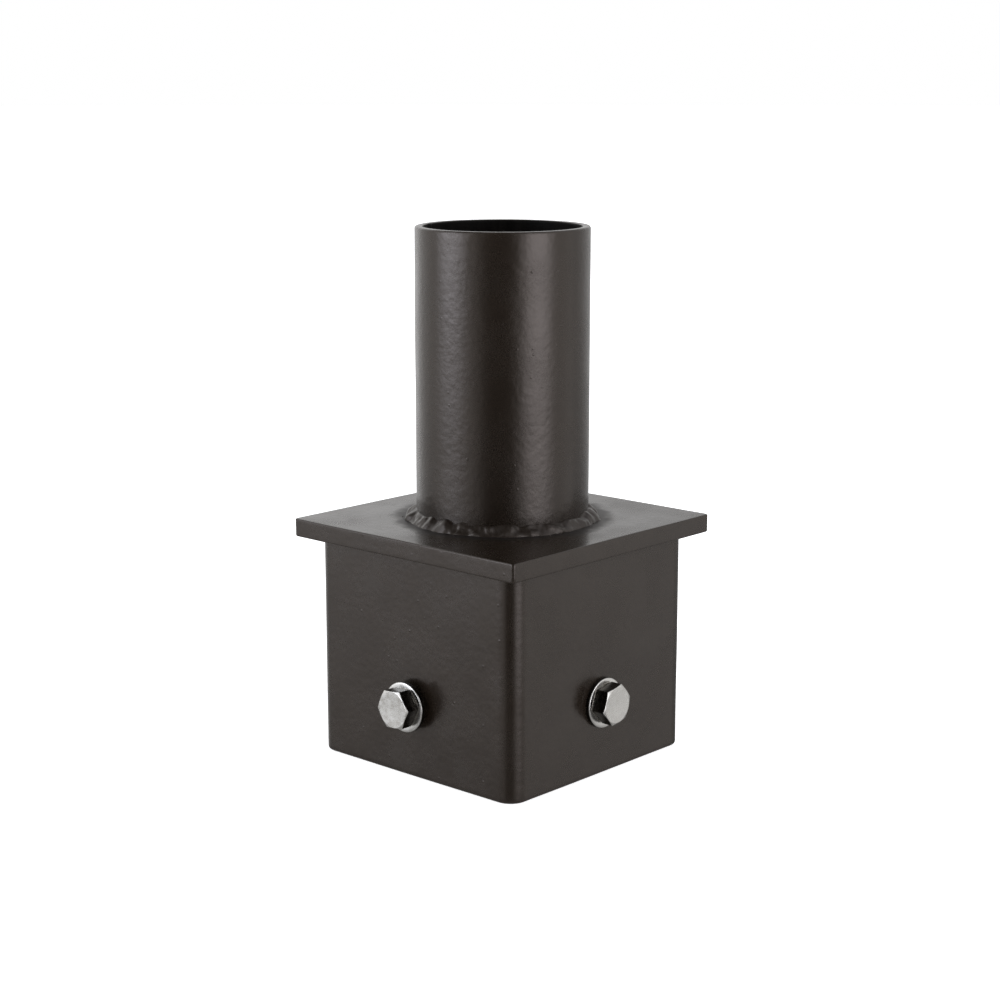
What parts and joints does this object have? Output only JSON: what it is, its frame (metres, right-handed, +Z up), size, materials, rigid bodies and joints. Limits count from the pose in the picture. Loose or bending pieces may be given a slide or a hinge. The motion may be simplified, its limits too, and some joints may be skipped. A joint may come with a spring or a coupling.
{
  "type": "square pole tenon adapter",
  "caption": "Welded steel pole-top adapter: a round tenon on a square cap plate, above a square insert tube with hex bolts and flat washers that clamp it inside a square pole.",
  "frame": {"origin": "centre of the cap plate's underside, where the rim of the pole seats", "axes": "+Z up along the tenon, -Y out through the front wall of the insert, +X out through the right wall"},
  "size_m": [0.106, 0.1084, 0.1858],
  "materials": {
    "powder_coat": "dark bronze powder coat with a light orange peel, semi-gloss",
    "coated_weld": "the same powder coat over rough weld metal, with bare specks",
    "stainless_steel": "bright stainless, turned head faces and rolled threads"
  },
  "bodies": {
    "adapter": {"tenon_pipe": "powder_coat", "cap_plate": "powder_coat", "insert_box": "powder_coat", "nut_front": "powder_coat", "nut_right": "powder_coat", "nut_back": "powder_coat", "nut_left": "powder_coat", "tenon_weld": "coated_weld", "seam_weld_front": "coated_weld", "seam_weld_right": "coated_weld", "seam_weld_back": "coated_weld", "seam_weld_left": "coated_weld", "nut_tacks_front": "coated_weld", "nut_tacks_right": "coated_weld", "nut_tacks_back": "coated_weld", "nut_tacks_left": "coated_weld"},
    "front_washer": {"washer_front": "stainless_steel"},
    "front_bolt": {"bolt_front": "stainless_steel"},
    "right_washer": {"washer_right": "stainless_steel"},
    "right_bolt": {"bolt_right": "stainless_steel"},
    "back_washer": {"washer_back": "stainless_steel"},
    "back_bolt": {"bolt_back": "stainless_steel"},
    "left_washer": {"washer_left": "stainless_steel"},
    "left_bolt": {"bolt_left": "stainless_steel"}
  },
  "joints": [
    {"name": "front_bolt_travel", "type": "slide", "parent": "adapter", "child": "front_washer", "axis": [0, -1, 0], "range_m": [-0.00247, 0.00882]},
    {"name": "front_bolt_turn", "type": "hinge", "parent": "front_washer", "child": "front_bolt", "pos_m": [0, 0, -0.0518], "axis": [0, -1, 0], "range_deg": [-630, 2250]},
    {"name": "right_bolt_travel", "type": "slide", "parent": "adapter", "child": "right_washer", "axis": [1, 0, 0], "range_m": [0, 0.01129]},
    {"name": "right_bolt_turn", "type": "hinge", "parent": "right_washer", "child": "right_bolt", "pos_m": [0, 0, -0.0518], "axis": [1, 0, 0], "range_deg": [0, 2880]},
    {"name": "back_bolt_travel", "type": "slide", "parent": "adapter", "child": "back_washer", "axis": [0, 1, 0], "range_m": [0, 0.01129]},
    {"name": "back_bolt_turn", "type": "hinge", "parent": "back_washer", "child": "back_bolt", "pos_m": [0, 0, -0.0518], "axis": [0, 1, 0], "range_deg": [0, 2880]},
    {"name": "left_bolt_travel", "type": "slide", "parent": "adapter", "child": "left_washer", "axis": [-1, 0, 0], "range_m": [0, 0.01129]},
    {"name": "left_bolt_turn", "type": "hinge", "parent": "left_washer", "child": "left_bolt", "pos_m": [0, 0, -0.0518], "axis": [-1, 0, 0], "range_deg": [0, 2880]}
  ],
  "couplings": [
    {"joint": "front_bolt_travel", "follows": "front_bolt_turn", "m_per_rad": 0.00022458},
    {"joint": "right_bolt_travel", "follows": "right_bolt_turn", "m_per_rad": 0.00022458},
    {"joint": "back_bolt_travel", "follows": "back_bolt_turn", "m_per_rad": 0.00022458},
    {"joint": "left_bolt_travel", "follows": "left_bolt_turn", "m_per_rad": 0.00022458}
  ]
}
